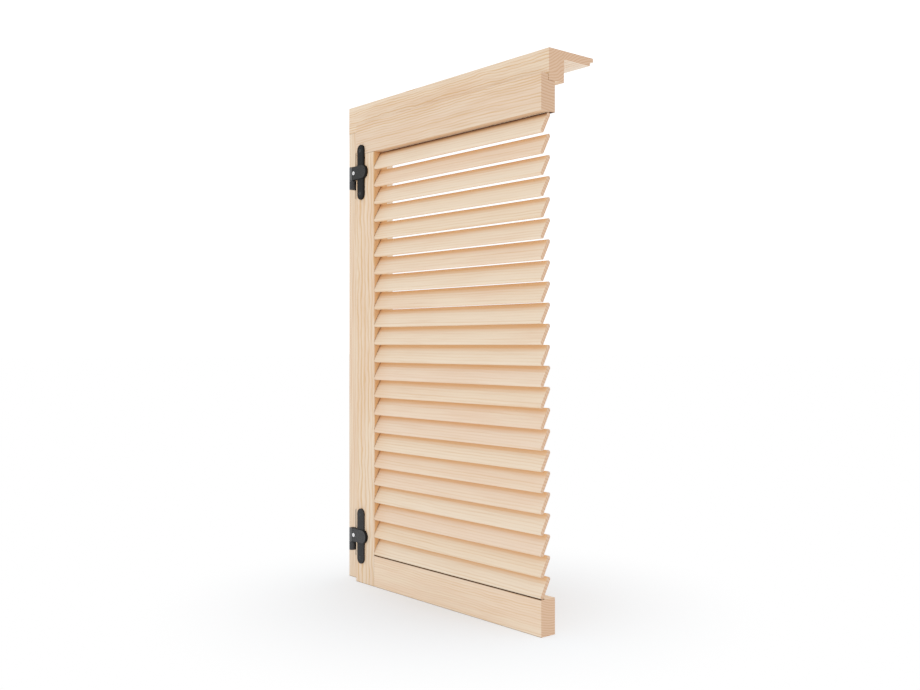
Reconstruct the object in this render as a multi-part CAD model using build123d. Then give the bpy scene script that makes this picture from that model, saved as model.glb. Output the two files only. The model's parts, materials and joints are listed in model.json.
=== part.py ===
from build123d import *
import os
from math import cos, radians, sin

# One leaf of a louvred timber shutter, hung on the left in the head and jamb of its frame, and sawn
# through on the right so that every section shows. X runs to the right along the wall, Y into the wall
# and Z up, in millimetres. The origin is at the bottom, in the middle of the whole part's box.

# Frame: head and jamb
cut_width = 811.0  # outer face of the jamb to the sawn ends
frame_depth = 50.0
head_height = 75.0
frame_edge_radius = 1.5
frame_tenon_width = 40.0
frame_tenon_thickness = 16.0
frame_tenon_length = 38.0

# Lining boards behind the frame, tongued into it
lining_thickness = 20.0
lining_depth = 89.0  # back of the frame to the rear shoulder
tongue_thickness = 10.0
front_tongue_length = 10.0
rear_tongue_length = 11.0
rebate_corner_radius = 4.0

# Leaf: stile and rails, with a lip that laps over the frame
leaf_height = 1291.5
leaf_thickness = 45.0
leaf_inset = 71.5  # outer face of the jamb to the hung edge of the leaf
stile_width = 86.0
top_rail_height = 86.5
bottom_rail_height = 86.0
lip_thickness = 22.0
lip_lap = 13.0
lip_gap = 3.0  # behind the lip, where the hinge plates lie
head_gap = 1.2  # between the head and the rebate below the lip
jamb_gap = 3.0  # between the jamb and the rebate beside the lip
leaf_edge_radius = 2.0
lip_edge_radius = 3.5

# Leaf joints
tenon_thickness = 15.0
stile_tenon_width = 30.0
stile_tenon_length = 45.0
rail_tenon_height = 52.0
rail_tenon_length = 40.0
tenon_margin = 5.0  # wood between the slat housings and the stile's tenon
tenon_fit = 0.1
tenon_end_gap = 1.0

# Slats
slat_count = 23
slat_width = 53.6
slat_thickness = 10.5
slat_nose_radius = 4.5  # along the low edge
slat_rear_chamfer = 3.2  # along the high edge
slat_slope = 62.0  # degrees from level, with the low edge outside
slat_top_gap = 1.3  # between the top slat and the rail
slat_bottom_gap = 0.2  # between the bottom slat and the rail
slat_setback = 0.7  # low edge behind the front of the leaf
slat_cut_back = 2.5  # slat ends short of the sawn rails
housing_depth = 12.0
housing_fit = 0.15
housing_relief = 1.4  # open joint along the face of each slat

# Hinges: places
upper_hinge_drop = 138.0  # top of the leaf to the middle of the strap
lower_hinge_rise = 132.0  # bottom of the leaf to the middle of the strap
axis_inset = 14.8  # pin axis to the hung edge of the leaf
axis_proud = 2.5  # pin axis in front of the leaf

# Hinge bar on the leaf
bar_length = 155.0
bar_width = 28.0
bar_thickness = 6.5
bar_inset = 28.0  # hung edge of the leaf to the middle of the bar

# Hinge strap, channelled over the bar, with its knuckle
strap_height = 38.0
strap_proud = 9.0  # front of the strap before the leaf
strap_overreach = 11.3  # middle of the bar to the centre of the round end
channel_fit = 0.1
knuckle_radius = 9.0
knuckle_cap = 4.0  # closed top above the bore

# Pin
pin_radius = 5.0
pin_seat_depth = 19.0
pin_end_gap = 1.5
pin_fit = 0.03
pin_clearance = 0.06  # between the pin and the knuckle's bore
hinge_play = 0.3  # between the knuckle and the barrel below

# Hinge base on the jamb
barrel_height = 25.0
plate_width = 38.0
plate_height = 138.0
plate_thickness = 2.5
plate_corner_cut = 5.0
neck_width = 13.0
neck_flare = 3.0

# Screws
bar_screw_margin = 17.5  # end of the bar to each screw
base_screw_margin = 11.0  # end of the plate to each screw
screw_head_radius = 5.0
screw_shank_radius = 2.5
bar_screw_length = 38.0
base_screw_length = 40.0
screw_fit = 0.05
adjuster_radius = 5.0
adjuster_length = 6.0
adjuster_proud = 0.6
adjuster_offset = 15.4  # pin axis to the adjusting screw
adjuster_key = 3.0  # across the flats of its hexagon socket
adjuster_key_depth = 1.5

# Places worked out from the sizes
overrun = 1.0
leaf_offset = lip_thickness + lip_gap
front_reach = leaf_offset + strap_proud + adjuster_proud
front_reach = max(front_reach, leaf_offset + axis_proud + knuckle_radius)
rear_reach = frame_depth + lining_depth + rear_tongue_length
frame_left = -cut_width / 2
cut_x = frame_left + cut_width
frame_front = (front_reach - rear_reach) / 2
frame_rear = frame_front + frame_depth
lining_shoulder = frame_rear + lining_depth
lining_end = lining_shoulder + rear_tongue_length

head_low = leaf_height - lip_lap
head_top = head_low + head_height
lining_low = head_top - lining_thickness
tongue_low = head_top - tongue_thickness
jamb_right = frame_left + leaf_inset + lip_lap
jamb_middle = (frame_left + jamb_right) / 2
frame_middle = (frame_front + frame_rear) / 2

leaf_left = frame_left + leaf_inset
leaf_front = frame_front - leaf_offset
leaf_rear = leaf_front + leaf_thickness
leaf_middle = (leaf_front + leaf_rear) / 2
lip_rear = leaf_front + lip_thickness
rebate_x = jamb_right + jamb_gap
rebate_z = head_low - head_gap
stile_right = leaf_left + stile_width
rail_low = leaf_height - top_rail_height
housing_floor = stile_right - housing_depth
tenon_right = housing_floor - tenon_margin
tenon_left = tenon_right - stile_tenon_width

nose_centre = slat_width / 2 - slat_nose_radius
nose_flat = slat_thickness / 2 - slat_nose_radius
rear_flat = slat_thickness / 2 - slat_rear_chamfer
slope_sin = sin(radians(slat_slope))
slope_cos = cos(radians(slat_slope))
slat_front_reach = nose_centre * slope_cos + nose_flat * slope_sin + slat_nose_radius
slat_low_reach = nose_centre * slope_sin + nose_flat * slope_cos + slat_nose_radius
slat_high_reach = slat_width / 2 * slope_sin + rear_flat * slope_cos
slat_y = leaf_front + slat_setback + slat_front_reach
lowest_slat_z = bottom_rail_height + slat_bottom_gap + slat_low_reach
highest_slat_z = rail_low - slat_top_gap - slat_high_reach
slat_pitch = (highest_slat_z - lowest_slat_z) / (slat_count - 1)

axis_x = leaf_left - axis_inset
axis_y = leaf_front - axis_proud
bar_x = leaf_left + bar_inset
strap_end_x = bar_x + strap_overreach
adjuster_x = axis_x + adjuster_offset
strap_front = leaf_front - strap_proud
plate_front = frame_front - plate_thickness
knuckle_low = -strap_height / 2
barrel_top = knuckle_low - hinge_play
barrel_low = barrel_top - barrel_height
bore_radius = pin_radius + pin_clearance
bore_depth = strap_height - knuckle_cap
screw_head_depth = plate_thickness  # the cone ends at the back of the plate
bar_screw_reach = bar_length / 2 - bar_screw_margin
base_screw_reach = plate_height / 2 - base_screw_margin
hinges = {"upper": leaf_height - upper_hinge_drop, "lower": lower_hinge_rise}


# Shapes shared by the pieces
def block(x_range, y_range, z_range):
    """Box between two values on each axis."""
    spans = [high - low for low, high in (x_range, y_range, z_range)]
    middle = [(low + high) / 2 for low, high in (x_range, y_range, z_range)]
    return Pos(*middle) * Box(*spans)


def outline(corners, rounded):
    """Face through the corners in order, with the numbered corners rounded to the given radii."""
    face = make_face(Polyline(*corners, close=True))
    for number, radius in rounded.items():
        corner = face.vertices().sort_by_distance(Vector(*corners[number]))[0]
        face = fillet(corner, radius)
    return face


def bar_along_x(profile, low, high):
    """Profile drawn in Y and Z, carried along X."""
    return extrude(Plane.YZ.offset(low) * profile, amount=high - low)


def bar_along_z(profile, low, high):
    """Profile drawn in X and Y, carried up Z."""
    return extrude(Plane.XY.offset(low) * profile, amount=high - low)


def facing_out(y):
    """Upright plane at a depth, drawn in X and Z, that faces out of the wall."""
    return Plane((0, y, 0), x_dir=(1, 0, 0), z_dir=(0, -1, 0))


def around_axis(shape):
    """Shape turned so that its Z axis points out of the wall."""
    return facing_out(0).location * shape


# Screws, drawn pointing down Z with the face of the head at zero
def countersunk(length, slack):
    """Countersunk wood screw, or its hole when given a slack."""
    head = screw_head_radius + slack
    shank = screw_shank_radius + slack
    tip = length + slack
    half = [(0, 0), (head, 0), (shank, -screw_head_depth), (shank, -tip), (0, -tip)]
    profile = make_face(Polyline(*half, close=True))
    return revolve(Plane.XZ * profile, Axis.Z)


def at_screws(shape, places, y):
    """Copies of a screw shape at places in X and Z, heads out, at a depth."""
    turned = around_axis(shape)
    return [Pos(x, y, z) * turned for x, z in places]


def bar_screw_places():
    """Places of the screws through the hinge bars."""
    reaches = (-bar_screw_reach, bar_screw_reach)
    return [(bar_x, z + reach) for z in hinges.values() for reach in reaches]


def base_screw_places():
    """Places of the screws through the hinge plates."""
    reaches = (-base_screw_reach, base_screw_reach)
    return [(axis_x, z + reach) for z in hinges.values() for reach in reaches]


bar_holes = at_screws(
    countersunk(bar_screw_length, screw_fit), bar_screw_places(), leaf_front - bar_thickness
)
base_holes = at_screws(countersunk(base_screw_length, screw_fit), base_screw_places(), plate_front)


# Frame
def frame_tenon(slack, length):
    """Tenon on top of the jamb, or its mortise when given a slack."""
    half_width = frame_tenon_width / 2 + slack
    half_depth = frame_tenon_thickness / 2 + slack
    return block(
        (jamb_middle - half_width, jamb_middle + half_width),
        (frame_middle - half_depth, frame_middle + half_depth),
        (head_low, head_low + length),
    )


def frame_head():
    """Head of the frame, rebated at its upper back edge for the lining's tongue."""
    rebate = frame_rear - front_tongue_length
    corners = [
        (frame_front, head_low),
        (frame_front, head_top),
        (rebate, head_top),
        (rebate, tongue_low),
        (frame_rear, tongue_low),
        (frame_rear, head_low),
    ]
    profile = outline(corners, {1: frame_edge_radius, 4: rebate_corner_radius})
    mortise = frame_tenon(tenon_fit, frame_tenon_length + tenon_end_gap)
    return bar_along_x(profile, frame_left, cut_x) - mortise


def frame_jamb():
    """Jamb under the head, rebated at its outer back edge, tenoned into the head."""
    rebate = frame_rear - front_tongue_length
    tongue_x = frame_left + tongue_thickness
    corners = [
        (frame_left, frame_front),
        (jamb_right, frame_front),
        (jamb_right, frame_rear),
        (tongue_x, frame_rear),
        (tongue_x, rebate),
        (frame_left, rebate),
    ]
    profile = outline(corners, {0: frame_edge_radius, 3: rebate_corner_radius})
    jamb = bar_along_z(profile, 0, head_low) + frame_tenon(0, frame_tenon_length)
    return jamb - base_holes


def lining_outline(outer, inner, tongue):
    """Section of a lining board: both tongues lie along its outer face."""
    return [
        (frame_rear - front_tongue_length, outer),
        (lining_end, outer),
        (lining_end, tongue),
        (lining_shoulder, tongue),
        (lining_shoulder, inner),
        (frame_rear, inner),
        (frame_rear, tongue),
        (frame_rear - front_tongue_length, tongue),
    ]


def head_lining():
    """Lining board behind the head, running through above the jamb's lining."""
    profile = outline(lining_outline(head_top, lining_low, tongue_low), {3: rebate_corner_radius})
    return bar_along_x(profile, frame_left, cut_x)


def jamb_lining():
    """Lining board behind the jamb; its rear tongue reaches up to the head lining's tongue."""
    tongue_x = frame_left + tongue_thickness
    section = lining_outline(frame_left, frame_left + lining_thickness, tongue_x)
    corners = [(x, y) for y, x in section]
    board = bar_along_z(outline(corners, {3: rebate_corner_radius}), 0, lining_low)
    tongue_top = block(
        (frame_left - overrun, tongue_x + overrun),
        (frame_rear - front_tongue_length - overrun, frame_rear),
        (head_low, lining_low + overrun),
    )
    stub = [
        (lining_shoulder, lining_low),
        (lining_shoulder, tongue_low),
        (lining_end, tongue_low),
        (lining_end, lining_low),
    ]
    corner = bar_along_x(outline(stub, {1: rebate_corner_radius}), frame_left, tongue_x)
    return board - tongue_top + corner


# Leaf
def slat(number):
    """Slat counted from the top, housed in the stile and sawn off short of the rails."""
    z = highest_slat_z - (number - 1) * slat_pitch
    section = Rectangle(slat_width, slat_thickness)
    section = fillet(section.vertices().group_by(Axis.X)[0], slat_nose_radius)
    section = chamfer(section.vertices().group_by(Axis.X)[-1], slat_rear_chamfer)
    placed = Pos(slat_y, z) * Rot(Z=slat_slope) * section
    return bar_along_x(placed, housing_floor, cut_x - slat_cut_back)


def slat_housings():
    """Slanting housings in the stile, one for each slat, relieved along its face and closed in front."""
    width = slat_width + 2 * housing_fit
    thickness = slat_thickness + housing_fit + housing_relief
    section = Pos(0, (housing_relief - housing_fit) / 2) * Rectangle(width, thickness)
    closed = Pos(width - slat_front_reach - housing_fit) * Rectangle(2 * width, 2 * width)
    section = Rot(Z=slat_slope) * section & closed
    heights = [lowest_slat_z + step * slat_pitch for step in range(slat_count)]
    high = stile_right + overrun
    return [bar_along_x(Pos(slat_y, z) * section, housing_floor, high) for z in heights]


def stile_tenon(slack, length):
    """Tenon on top of the stile, or its mortise when given a slack."""
    half = tenon_thickness / 2 + slack
    return block(
        (tenon_left - slack, tenon_right + slack),
        (leaf_middle - half, leaf_middle + half),
        (rail_low, rail_low + length),
    )


def rail_tenon(slack, length):
    """Tenon of the bottom rail in the stile, or its mortise when given a slack."""
    half = tenon_thickness / 2 + slack
    middle = bottom_rail_height / 2
    half_height = rail_tenon_height / 2 + slack
    return block(
        (stile_right - length, stile_right),
        (leaf_middle - half, leaf_middle + half),
        (middle - half_height, middle + half_height),
    )


def leaf_stile():
    """Hanging stile under the top rail, with its lip, the slat housings and the joints."""
    corners = [
        (leaf_left, leaf_front),
        (stile_right, leaf_front),
        (stile_right, leaf_rear),
        (rebate_x, leaf_rear),
        (rebate_x, lip_rear),
        (leaf_left, lip_rear),
    ]
    profile = outline(corners, {0: leaf_edge_radius, 5: lip_edge_radius})
    stile = bar_along_z(profile, 0, rail_low) + stile_tenon(0, stile_tenon_length)
    mortise = rail_tenon(tenon_fit, rail_tenon_length + tenon_end_gap)
    return stile - [mortise, *slat_housings(), *bar_holes]


def leaf_top_rail():
    """Top rail, running through above the stile, lipped along its top and its hung end."""
    corners = [
        (leaf_front, rail_low),
        (leaf_front, leaf_height),
        (lip_rear, leaf_height),
        (lip_rear, rebate_z),
        (leaf_rear, rebate_z),
        (leaf_rear, rail_low),
    ]
    profile = outline(corners, {1: leaf_edge_radius, 2: lip_edge_radius})
    rail = bar_along_x(profile, leaf_left, cut_x)
    end_rebate = block(
        (leaf_left - overrun, rebate_x),
        (lip_rear, leaf_rear + overrun),
        (rail_low - overrun, leaf_height + overrun),
    )
    rail -= end_rebate
    hung_corners = rail.edges().filter_by(Axis.Z).group_by(Axis.X)[0]
    rail = fillet(hung_corners.sort_by(Axis.Y)[0], leaf_edge_radius)
    mortise = stile_tenon(tenon_fit, stile_tenon_length + tenon_end_gap)
    return rail - [mortise, *bar_holes]


def leaf_bottom_rail():
    """Bottom rail, butted and tenoned into the stile."""
    corners = [
        (leaf_front, 0),
        (leaf_front, bottom_rail_height),
        (leaf_rear, bottom_rail_height),
        (leaf_rear, 0),
    ]
    profile = outline(corners, {1: leaf_edge_radius, 2: leaf_edge_radius})
    return bar_along_x(profile, stile_right, cut_x) + rail_tenon(0, rail_tenon_length)


# Hinges, each about the middle height of its strap
def hinge_bar(z):
    """Upright bar with round ends, screwed to the leaf."""
    shape = Pos(bar_x, z) * Rot(Z=90) * SlotOverall(bar_length, bar_width)
    bar = extrude(facing_out(leaf_front) * shape, amount=bar_thickness)
    return bar - bar_holes


def hinge_strap(z):
    """Strap over the bar with a round end, and the knuckle that turns on the pin."""
    half = strap_height / 2
    middle = (axis_x + strap_end_x) / 2
    arm = Pos(middle, z) * Rectangle(strap_end_x - axis_x, strap_height)
    face = arm + Pos(strap_end_x, z) * Circle(half)
    strap = extrude(facing_out(leaf_front) * face, amount=strap_proud)
    strap += Pos(axis_x, axis_y, z) * Cylinder(knuckle_radius, strap_height)
    channel_half = bar_width / 2 + channel_fit
    channel = block(
        (bar_x - channel_half, bar_x + channel_half),
        (leaf_front - bar_thickness - channel_fit, leaf_front + overrun),
        (z - strap_height, z + strap_height),
    )
    bore = Cylinder(bore_radius, bore_depth, align=(Align.CENTER, Align.CENTER, Align.MIN))
    adjuster_hole = Cylinder(adjuster_radius + screw_fit, adjuster_length - adjuster_proud)
    adjuster_y = strap_front + (adjuster_length - adjuster_proud) / 2
    strap -= channel
    strap -= Pos(axis_x, axis_y, z + knuckle_low) * bore
    return strap - Pos(adjuster_x, adjuster_y, z) * around_axis(adjuster_hole)


def hinge_pin(z):
    """Pin standing in the barrel, reaching up into the knuckle."""
    low = barrel_top - pin_seat_depth
    length = knuckle_low + bore_depth - pin_end_gap - low
    pin = Cylinder(pin_radius, length, align=(Align.CENTER, Align.CENTER, Align.MIN))
    return Pos(axis_x, axis_y, z + low) * pin


def hinge_base(z):
    """Plate on the jamb, its corners cut off, with a flared neck to the barrel that holds the pin."""
    shape = chamfer(Rectangle(plate_width, plate_height).vertices(), plate_corner_cut)
    base = extrude(facing_out(frame_front) * Pos(axis_x, z) * shape, amount=plate_thickness)
    half = neck_width / 2
    foot = half + neck_flare
    neck = make_face(
        Polyline(
            (axis_x - half, axis_y),
            (axis_x + half, axis_y),
            (axis_x + foot, plate_front),
            (axis_x - foot, plate_front),
            close=True,
        )
    )
    base += bar_along_z(neck, z + barrel_low, z + barrel_top)
    barrel = Cylinder(knuckle_radius, barrel_height)
    base += Pos(axis_x, axis_y, z + (barrel_low + barrel_top) / 2) * barrel
    seat = Cylinder(pin_radius + pin_fit, pin_seat_depth, align=(Align.CENTER, Align.CENTER, Align.MAX))
    base -= Pos(axis_x, axis_y, z + barrel_top) * seat
    return base - base_holes


def adjusting_screw():
    """Socket screw set in the strap, its face a little proud."""
    body = Cylinder(adjuster_radius, adjuster_length, align=(Align.CENTER, Align.CENTER, Align.MAX))
    hexagon = RegularPolygon(adjuster_key / 2, side_count=6, major_radius=False)
    return body - extrude(hexagon, amount=-adjuster_key_depth)


# Every node of the part, by name
nodes = {
    "frame_head": frame_head(),
    "frame_jamb": frame_jamb(),
    "head_lining": head_lining(),
    "jamb_lining": jamb_lining(),
    "leaf_stile": leaf_stile(),
    "leaf_top_rail": leaf_top_rail(),
    "leaf_bottom_rail": leaf_bottom_rail(),
}
for number in range(1, slat_count + 1):
    nodes[f"slat_{number:02d}"] = slat(number)
for name, z in hinges.items():
    nodes[f"{name}_hinge_base"] = hinge_base(z)
    nodes[f"{name}_hinge_pin"] = hinge_pin(z)
    nodes[f"{name}_hinge_strap"] = hinge_strap(z)
    nodes[f"{name}_hinge_bar"] = hinge_bar(z)
bar_screw = countersunk(bar_screw_length, 0)
base_screw = countersunk(base_screw_length, 0)
adjuster_places = [(adjuster_x, z) for z in hinges.values()]
groups = {
    "bar_screws": at_screws(bar_screw, bar_screw_places(), leaf_front - bar_thickness),
    "base_screws": at_screws(base_screw, base_screw_places(), plate_front),
    "adjusting_screws": at_screws(adjusting_screw(), adjuster_places, strap_front - adjuster_proud),
}
for name, copies in groups.items():
    nodes[name] = Compound(children=copies)

os.makedirs("parts", exist_ok=True)
for name, shape in nodes.items():
    export_step(shape, f"parts/{name}.step")
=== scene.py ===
import json
from math import cos, floor, pi, radians, sin
from typing import NamedTuple

import bpy
import numpy as np
from bpy.props import FloatProperty, FloatVectorProperty, PointerProperty
from bpy.types import Operator, Panel, PropertyGroup
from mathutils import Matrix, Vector


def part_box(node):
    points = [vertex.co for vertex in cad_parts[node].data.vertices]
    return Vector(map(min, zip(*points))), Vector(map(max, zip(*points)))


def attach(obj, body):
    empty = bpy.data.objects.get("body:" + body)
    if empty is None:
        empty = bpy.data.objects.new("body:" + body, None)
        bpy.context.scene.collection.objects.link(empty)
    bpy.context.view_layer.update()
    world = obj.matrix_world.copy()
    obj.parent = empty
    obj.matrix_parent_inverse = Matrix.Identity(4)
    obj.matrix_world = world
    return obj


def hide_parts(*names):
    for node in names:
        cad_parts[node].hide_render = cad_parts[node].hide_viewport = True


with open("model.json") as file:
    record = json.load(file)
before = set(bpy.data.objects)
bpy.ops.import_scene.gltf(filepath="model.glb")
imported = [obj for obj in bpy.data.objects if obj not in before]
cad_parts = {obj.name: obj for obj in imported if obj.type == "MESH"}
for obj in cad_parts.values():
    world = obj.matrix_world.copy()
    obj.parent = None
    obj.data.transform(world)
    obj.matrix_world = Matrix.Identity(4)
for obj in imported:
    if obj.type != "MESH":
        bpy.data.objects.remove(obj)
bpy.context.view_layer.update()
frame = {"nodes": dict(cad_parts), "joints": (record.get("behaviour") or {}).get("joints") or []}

bl_info = {
    "name": "Louvred shutter finishes",
    "version": (1, 0, 0),
    "blender": (4, 5, 0),
    "location": "View3D > Sidebar > Shutter",
    "description": "Pine, coated hinges and a studio stage for a louvred shutter leaf",
    "category": "Object",
}


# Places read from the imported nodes, in metres
def middle(node):
    """Middle of a node's box."""
    low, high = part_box(node)
    return (low + high) / 2


SLATS = sorted(name for name in frame["nodes"] if name.startswith("slat_"))
LOWEST_SLAT = middle(SLATS[-1])
SLAT_PITCH = (middle(SLATS[0]).z - LOWEST_SLAT.z) / (len(SLATS) - 1)
SIDES = ("upper", "lower")
AXIS_X, AXIS_Y = frame["joints"][0]["pos_m"][:2]
KNUCKLE_RADIUS = AXIS_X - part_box("upper_hinge_strap")[0].x
FRAME_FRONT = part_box("frame_jamb")[0].y
HEAD_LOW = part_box("frame_head")[0].z
LEAF_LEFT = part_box("leaf_stile")[0].x
LEAF_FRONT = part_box("leaf_stile")[0].y
LEAF_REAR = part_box("leaf_stile")[1].y
LEAF_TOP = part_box("leaf_top_rail")[1].z
STILE_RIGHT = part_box("leaf_stile")[1].x
RAIL_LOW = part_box("leaf_top_rail")[0].z
RAIL_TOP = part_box("leaf_bottom_rail")[1].z

# Millimetres in a metre
MILLIMETRES = 1000.0


# Settings
class PineSettings(PropertyGroup):
    """Colours and sizes of the planed pine."""

    pale: FloatVectorProperty(
        name="Pale wood", description="Yellowish wood between the year lines",
        subtype="COLOR", default=(0.785, 0.592, 0.402), min=0.0, max=1.0)
    rosy: FloatVectorProperty(
        name="Rosy wood", description="Pinker wood that comes and goes along a board",
        subtype="COLOR", default=(0.770, 0.530, 0.362), min=0.0, max=1.0)
    year_line: FloatVectorProperty(
        name="Year line", description="Dense wood at the end of each year",
        subtype="COLOR", default=(0.640, 0.360, 0.170), min=0.0, max=1.0)
    end_pale: FloatVectorProperty(
        name="Pale end grain", description="Sawn end between the year lines",
        subtype="COLOR", default=(0.615, 0.370, 0.232), min=0.0, max=1.0)
    end_line: FloatVectorProperty(
        name="End grain line", description="Year lines on a sawn end",
        subtype="COLOR", default=(0.480, 0.250, 0.135), min=0.0, max=1.0)
    bleached: FloatVectorProperty(
        name="Bleached wood", description="Almost white wood of the palest boards",
        subtype="COLOR", default=(0.840, 0.740, 0.600), min=0.0, max=1.0)
    # Painted warm shade: stands in for the shade and warm bounce light near the high edges of slats and in
    # some joints
    deep: FloatVectorProperty(
        name="Deep wood", description="Warm wood near the high edges of slats and at some joints",
        subtype="COLOR", default=(0.660, 0.300, 0.105), min=0.0, max=1.0)
    # Painted shadow: colour that stands in for the shade in the joints, gaps and corners and at the foot
    shadow: FloatVectorProperty(
        name="Joint shadow", description="Dark wood along the joints between boards",
        subtype="COLOR", default=(0.040, 0.015, 0.008), min=0.0, max=1.0)
    ring: FloatProperty(
        name="Year ring", description="Width of one year's growth in a board",
        subtype="DISTANCE", unit="LENGTH", default=0.0066, min=0.001, max=0.03)
    slat_ring: FloatProperty(
        name="Slat year ring", description="Width of one year's growth in a slat",
        subtype="DISTANCE", unit="LENGTH", default=0.0075, min=0.001, max=0.03)
    # Share of painted warm shade at the high edge of a slat, where the slat above shades it
    slat_warm_shade: FloatProperty(
        name="Slat depth", description="How much of the deep wood there is at the high edge of a slat",
        subtype="FACTOR", default=0.74, min=0.0, max=1.0)
    slat_bleach: FloatProperty(
        name="Slat bleach", description="How much of the bleached wood the palest slat has",
        subtype="FACTOR", default=0.18, min=0.0, max=1.0)
    slat_slope: FloatProperty(
        name="Slat slope", description="Slope of the slats from level",
        subtype="ANGLE", unit="ROTATION", default=radians(62.0))
    roughness: FloatProperty(
        name="Roughness", description="Mean roughness of the planed face",
        subtype="FACTOR", default=0.62, min=0.0, max=1.0)


class HingeSettings(PropertyGroup):
    """Colours and edges of the hinges."""

    coat: FloatVectorProperty(
        name="Coat", description="Matt black coat of the hinges",
        subtype="COLOR", default=(0.0065, 0.0065, 0.0068), min=0.0, max=1.0)
    # Paler coat: rubbed edges, and a painted highlight on the knuckles, barrels and lower hinge
    rubbed: FloatVectorProperty(
        name="Rubbed edge", description="Coat where the edges are rubbed",
        subtype="COLOR", default=(0.085, 0.085, 0.086), min=0.0, max=1.0)
    zinc: FloatVectorProperty(
        name="Zinc", description="Bright plating of the set screws",
        subtype="COLOR", default=(0.86, 0.86, 0.87), min=0.0, max=1.0)
    steel: FloatVectorProperty(
        name="Steel", description="Ground steel of the pins",
        subtype="COLOR", default=(0.55, 0.55, 0.56), min=0.0, max=1.0)
    strap_proud: FloatProperty(
        name="Strap", description="Front of the strap before the leaf",
        subtype="DISTANCE", unit="LENGTH", default=0.009, min=0.001, max=0.05)
    bar_edge: FloatProperty(
        name="Bar edge", description="Rounding along the front of a bar",
        subtype="DISTANCE", unit="LENGTH", default=0.0024, min=0.0001, max=0.006)
    bar_crown: FloatProperty(
        name="Bar crown", description="How much higher a bar's front is along its middle",
        subtype="DISTANCE", unit="LENGTH", default=0.00008, min=0.0, max=0.002)
    bar_rim: FloatProperty(
        name="Bar rim", description="How much wider a bar is drawn than its solid on each side",
        subtype="DISTANCE", unit="LENGTH", default=0.0014, min=0.0, max=0.003)
    strap_edge: FloatProperty(
        name="Strap edge", description="Rounding along the front of a strap",
        subtype="DISTANCE", unit="LENGTH", default=0.0013, min=0.0001, max=0.006)
    barrel_edge: FloatProperty(
        name="Barrel edge", description="Rounding at the ends of knuckles and barrels",
        subtype="DISTANCE", unit="LENGTH", default=0.0009, min=0.0001, max=0.004)
    barrel_height: FloatProperty(
        name="Barrel height", description="Height of the fixed barrel under a knuckle",
        subtype="DISTANCE", unit="LENGTH", default=0.025, min=0.005, max=0.05)
    barrel_play: FloatProperty(
        name="Barrel play", description="Gap between a knuckle and its barrel",
        subtype="DISTANCE", unit="LENGTH", default=0.0003, min=0.0, max=0.002)
    neck_width: FloatProperty(
        name="Neck", description="Width of the neck at the barrel",
        subtype="DISTANCE", unit="LENGTH", default=0.013, min=0.001, max=0.018)
    neck_flare: FloatProperty(
        name="Neck flare", description="How much wider the neck is on each side at the plate",
        subtype="DISTANCE", unit="LENGTH", default=0.003, min=0.0, max=0.01)
    plate: FloatProperty(
        name="Plate", description="Thickness of the plate on the jamb",
        subtype="DISTANCE", unit="LENGTH", default=0.0025, min=0.0005, max=0.01)
    plate_edge: FloatProperty(
        name="Plate edge", description="Rounding along the front of the plate",
        subtype="DISTANCE", unit="LENGTH", default=0.0006, min=0.0001, max=0.002)
    plate_rim: FloatProperty(
        name="Plate rim", description="How much wider the plate is drawn than its solid on each side",
        subtype="DISTANCE", unit="LENGTH", default=0.002, min=0.0, max=0.003)
    plate_cut: FloatProperty(
        name="Plate corners", description="How much is cut off each corner of the plate",
        subtype="DISTANCE", unit="LENGTH", default=0.005, min=0.0, max=0.02)
    head_radius: FloatProperty(
        name="Screw head", description="Radius of a screw head",
        subtype="DISTANCE", unit="LENGTH", default=0.005, min=0.001, max=0.01)
    head_dome: FloatProperty(
        name="Head dome", description="How far a screw head stands proud",
        subtype="DISTANCE", unit="LENGTH", default=0.0006, min=0.0, max=0.003)


class StageSettings(PropertyGroup):
    """Floor, light and camera."""

    floor: FloatVectorProperty(
        name="Floor", description="Colour of the floor",
        subtype="COLOR", default=(0.893, 0.946, 0.993), min=0.0, max=1.0)
    floor_size: FloatProperty(
        name="Floor size", description="Side of the square floor",
        subtype="DISTANCE", unit="LENGTH", default=120.0, min=1.0, max=1000.0)
    fade_start: FloatProperty(
        name="Fade start", description="Distance from the part at which the floor begins to fade to white",
        subtype="DISTANCE", unit="LENGTH", default=0.03, min=0.0, max=10.0)
    fade_end: FloatProperty(
        name="Fade end", description="Distance from the part at which the floor is white",
        subtype="DISTANCE", unit="LENGTH", default=0.83, min=0.1, max=50.0)
    backdrop: FloatProperty(
        name="Backdrop", description="Strength of the white behind the part, as the camera sees it",
        default=3.0, min=0.0, max=20.0)
    dome_bright: FloatProperty(
        name="Bright dome", description="Strength of the dome's light where it is brightest",
        default=2.0, min=0.0, max=20.0)
    dome_dim: FloatProperty(
        name="Dim dome", description="Strength of the dome's light on its far side",
        default=1.8, min=0.0, max=20.0)
    dome_aim: FloatVectorProperty(
        name="Dome aim", description="Direction of the dome's bright side",
        subtype="DIRECTION", default=(0.30, -0.40, 0.87))
    white: FloatProperty(
        name="White", description="Light level that the picture shows as full white",
        default=2.2, min=1.0, max=16.0)
    camera_place: FloatVectorProperty(
        name="Camera place", description="Where the camera stands",
        subtype="TRANSLATION", unit="LENGTH", default=(2.0658, -1.7392, 0.6685))
    camera_turn: FloatProperty(
        name="Camera turn", description="Turn of the level camera about the upright axis",
        subtype="ANGLE", unit="ROTATION", default=radians(49.58))
    lens: FloatProperty(
        name="Lens", description="Focal length on a sensor 36 mm wide",
        unit="CAMERA", default=40.11, min=10.0, max=300.0)


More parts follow.
